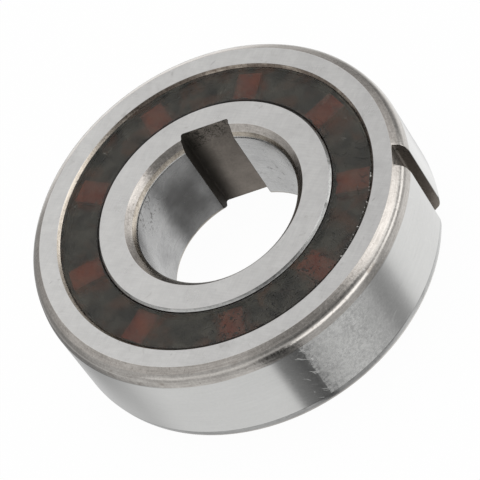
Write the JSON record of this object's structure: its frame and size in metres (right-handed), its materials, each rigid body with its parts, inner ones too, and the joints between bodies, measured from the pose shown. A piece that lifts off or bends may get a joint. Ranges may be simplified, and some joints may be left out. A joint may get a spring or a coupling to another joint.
{
  "type": "sprag clutch bearing",
  "caption": "One-way ball bearing: inner and outer steel rings with a key way and a slot, caged balls and tilting sprags between them, and thin smoky covers on both sides.",
  "frame": {"origin": "on the bearing's axis, in the plane of the rear faces that it lies on", "axes": "+Z along the axis to the front face, +X towards the middle of the slot in the outer ring"},
  "size_m": [0.047, 0.047, 0.014],
  "materials": {
    "bearing_steel": "ground and turned",
    "smoky_cover": "smoky, a little see-through",
    "cage_plastic": "moulded",
    "ball_steel": "polished",
    "sprag_steel": "drawn and ground",
    "spring_steel": "rolled"
  },
  "bodies": {
    "outer_body": {"outer_ring": "bearing_steel", "front_cover": "smoky_cover", "rear_cover": "smoky_cover"},
    "inner_body": {"inner_ring": "bearing_steel"},
    "cage_body": {"front_cage": "cage_plastic", "rear_cage": "cage_plastic", "sprag_spring_1": "spring_steel", "sprag_spring_2": "spring_steel", "sprag_spring_3": "spring_steel", "sprag_spring_4": "spring_steel", "sprag_spring_5": "spring_steel", "sprag_spring_6": "spring_steel", "sprag_spring_7": "spring_steel", "sprag_spring_8": "spring_steel", "sprag_spring_9": "spring_steel"},
    "ball_body_1": {"ball_1": "ball_steel"},
    "ball_body_2": {"ball_2": "ball_steel"},
    "ball_body_3": {"ball_3": "ball_steel"},
    "ball_body_4": {"ball_4": "ball_steel"},
    "ball_body_5": {"ball_5": "ball_steel"},
    "ball_body_6": {"ball_6": "ball_steel"},
    "ball_body_7": {"ball_7": "ball_steel"},
    "ball_body_8": {"ball_8": "ball_steel"},
    "ball_body_9": {"ball_9": "ball_steel"},
    "sprag_body_1": {"sprag_1": "sprag_steel"},
    "sprag_body_2": {"sprag_2": "sprag_steel"},
    "sprag_body_3": {"sprag_3": "sprag_steel"},
    "sprag_body_4": {"sprag_4": "sprag_steel"},
    "sprag_body_5": {"sprag_5": "sprag_steel"},
    "sprag_body_6": {"sprag_6": "sprag_steel"},
    "sprag_body_7": {"sprag_7": "sprag_steel"},
    "sprag_body_8": {"sprag_8": "sprag_steel"},
    "sprag_body_9": {"sprag_9": "sprag_steel"}
  },
  "joints": [
    {"name": "inner_ring_turn", "type": "hinge", "parent": "outer_body", "child": "inner_body", "pos_m": [0, 0, 0.007], "axis": [0, 0, 1], "range_deg": [0, 3690]},
    {"name": "cage_orbit", "type": "hinge", "parent": "outer_body", "child": "cage_body", "pos_m": [0, 0, 0.007], "axis": [0, 0, 1], "range_deg": [0, 1498.9]},
    {"name": "ball_1_spin", "type": "hinge", "parent": "cage_body", "child": "ball_body_1", "pos_m": [0.00969, 0.01384, 0.007], "axis": [0, 0, 1], "range_deg": [-9474.5, 0]},
    {"name": "ball_2_spin", "type": "hinge", "parent": "cage_body", "child": "ball_body_2", "pos_m": [-0.00147, 0.01684, 0.007], "axis": [0, 0, 1], "range_deg": [-9474.5, 0]},
    {"name": "ball_3_spin", "type": "hinge", "parent": "cage_body", "child": "ball_body_3", "pos_m": [-0.01195, 0.01195, 0.007], "axis": [0, 0, 1], "range_deg": [-9474.5, 0]},
    {"name": "ball_4_spin", "type": "hinge", "parent": "cage_body", "child": "ball_body_4", "pos_m": [-0.01684, 0.00147, 0.007], "axis": [0, 0, 1], "range_deg": [-9474.5, 0]},
    {"name": "ball_5_spin", "type": "hinge", "parent": "cage_body", "child": "ball_body_5", "pos_m": [-0.01384, -0.00969, 0.007], "axis": [0, 0, 1], "range_deg": [-9474.5, 0]},
    {"name": "ball_6_spin", "type": "hinge", "parent": "cage_body", "child": "ball_body_6", "pos_m": [-0.00437, -0.01632, 0.007], "axis": [0, 0, 1], "range_deg": [-9474.5, 0]},
    {"name": "ball_7_spin", "type": "hinge", "parent": "cage_body", "child": "ball_body_7", "pos_m": [0.00714, -0.01532, 0.007], "axis": [0, 0, 1], "range_deg": [-9474.5, 0]},
    {"name": "ball_8_spin", "type": "hinge", "parent": "cage_body", "child": "ball_body_8", "pos_m": [0.01532, -0.00714, 0.007], "axis": [0, 0, 1], "range_deg": [-9474.5, 0]},
    {"name": "ball_9_spin", "type": "hinge", "parent": "cage_body", "child": "ball_body_9", "pos_m": [0.01632, 0.00437, 0.007], "axis": [0, 0, 1], "range_deg": [-9474.5, 0]},
    {"name": "sprag_1_tilt", "type": "hinge", "parent": "cage_body", "child": "sprag_body_1", "pos_m": [0.01384, 0.00969, 0.007], "axis": [0, 0, 1], "range_deg": [-6, 0], "stiffness_Nm_per_rad": 0.002, "springref_deg": 2.86},
    {"name": "sprag_2_tilt", "type": "hinge", "parent": "cage_body", "child": "sprag_body_2", "pos_m": [0.00437, 0.01632, 0.007], "axis": [0, 0, 1], "range_deg": [-6, 0], "stiffness_Nm_per_rad": 0.002, "springref_deg": 2.86},
    {"name": "sprag_3_tilt", "type": "hinge", "parent": "cage_body", "child": "sprag_body_3", "pos_m": [-0.00714, 0.01532, 0.007], "axis": [0, 0, 1], "range_deg": [-6, 0], "stiffness_Nm_per_rad": 0.002, "springref_deg": 2.86},
    {"name": "sprag_4_tilt", "type": "hinge", "parent": "cage_body", "child": "sprag_body_4", "pos_m": [-0.01532, 0.00714, 0.007], "axis": [0, 0, 1], "range_deg": [-6, 0], "stiffness_Nm_per_rad": 0.002, "springref_deg": 2.86},
    {"name": "sprag_5_tilt", "type": "hinge", "parent": "cage_body", "child": "sprag_body_5", "pos_m": [-0.01632, -0.00437, 0.007], "axis": [0, 0, 1], "range_deg": [-6, 0], "stiffness_Nm_per_rad": 0.002, "springref_deg": 2.86},
    {"name": "sprag_6_tilt", "type": "hinge", "parent": "cage_body", "child": "sprag_body_6", "pos_m": [-0.00969, -0.01384, 0.007], "axis": [0, 0, 1], "range_deg": [-6, 0], "stiffness_Nm_per_rad": 0.002, "springref_deg": 2.86},
    {"name": "sprag_7_tilt", "type": "hinge", "parent": "cage_body", "child": "sprag_body_7", "pos_m": [0.00147, -0.01684, 0.007], "axis": [0, 0, 1], "range_deg": [-6, 0], "stiffness_Nm_per_rad": 0.002, "springref_deg": 2.86},
    {"name": "sprag_8_tilt", "type": "hinge", "parent": "cage_body", "child": "sprag_body_8", "pos_m": [0.01195, -0.01195, 0.007], "axis": [0, 0, 1], "range_deg": [-6, 0], "stiffness_Nm_per_rad": 0.002, "springref_deg": 2.86},
    {"name": "sprag_9_tilt", "type": "hinge", "parent": "cage_body", "child": "sprag_body_9", "pos_m": [0.01684, -0.00147, 0.007], "axis": [0, 0, 1], "range_deg": [-6, 0], "stiffness_Nm_per_rad": 0.002, "springref_deg": 2.86}
  ],
  "couplings": [
    {"joint": "cage_orbit", "follows": "inner_ring_turn", "ratio": 0.40607},
    {"joint": "ball_1_spin", "follows": "inner_ring_turn", "ratio": -2.5675},
    {"joint": "ball_2_spin", "follows": "inner_ring_turn", "ratio": -2.5675},
    {"joint": "ball_3_spin", "follows": "inner_ring_turn", "ratio": -2.5675},
    {"joint": "ball_4_spin", "follows": "inner_ring_turn", "ratio": -2.5675},
    {"joint": "ball_5_spin", "follows": "inner_ring_turn", "ratio": -2.5675},
    {"joint": "ball_6_spin", "follows": "inner_ring_turn", "ratio": -2.5675},
    {"joint": "ball_7_spin", "follows": "inner_ring_turn", "ratio": -2.5675},
    {"joint": "ball_8_spin", "follows": "inner_ring_turn", "ratio": -2.5675},
    {"joint": "ball_9_spin", "follows": "inner_ring_turn", "ratio": -2.5675},
    {"joint": "sprag_2_tilt", "follows": "sprag_1_tilt", "ratio": 1},
    {"joint": "sprag_3_tilt", "follows": "sprag_1_tilt", "ratio": 1},
    {"joint": "sprag_4_tilt", "follows": "sprag_1_tilt", "ratio": 1},
    {"joint": "sprag_5_tilt", "follows": "sprag_1_tilt", "ratio": 1},
    {"joint": "sprag_6_tilt", "follows": "sprag_1_tilt", "ratio": 1},
    {"joint": "sprag_7_tilt", "follows": "sprag_1_tilt", "ratio": 1},
    {"joint": "sprag_8_tilt", "follows": "sprag_1_tilt", "ratio": 1},
    {"joint": "sprag_9_tilt", "follows": "sprag_1_tilt", "ratio": 1}
  ]
}
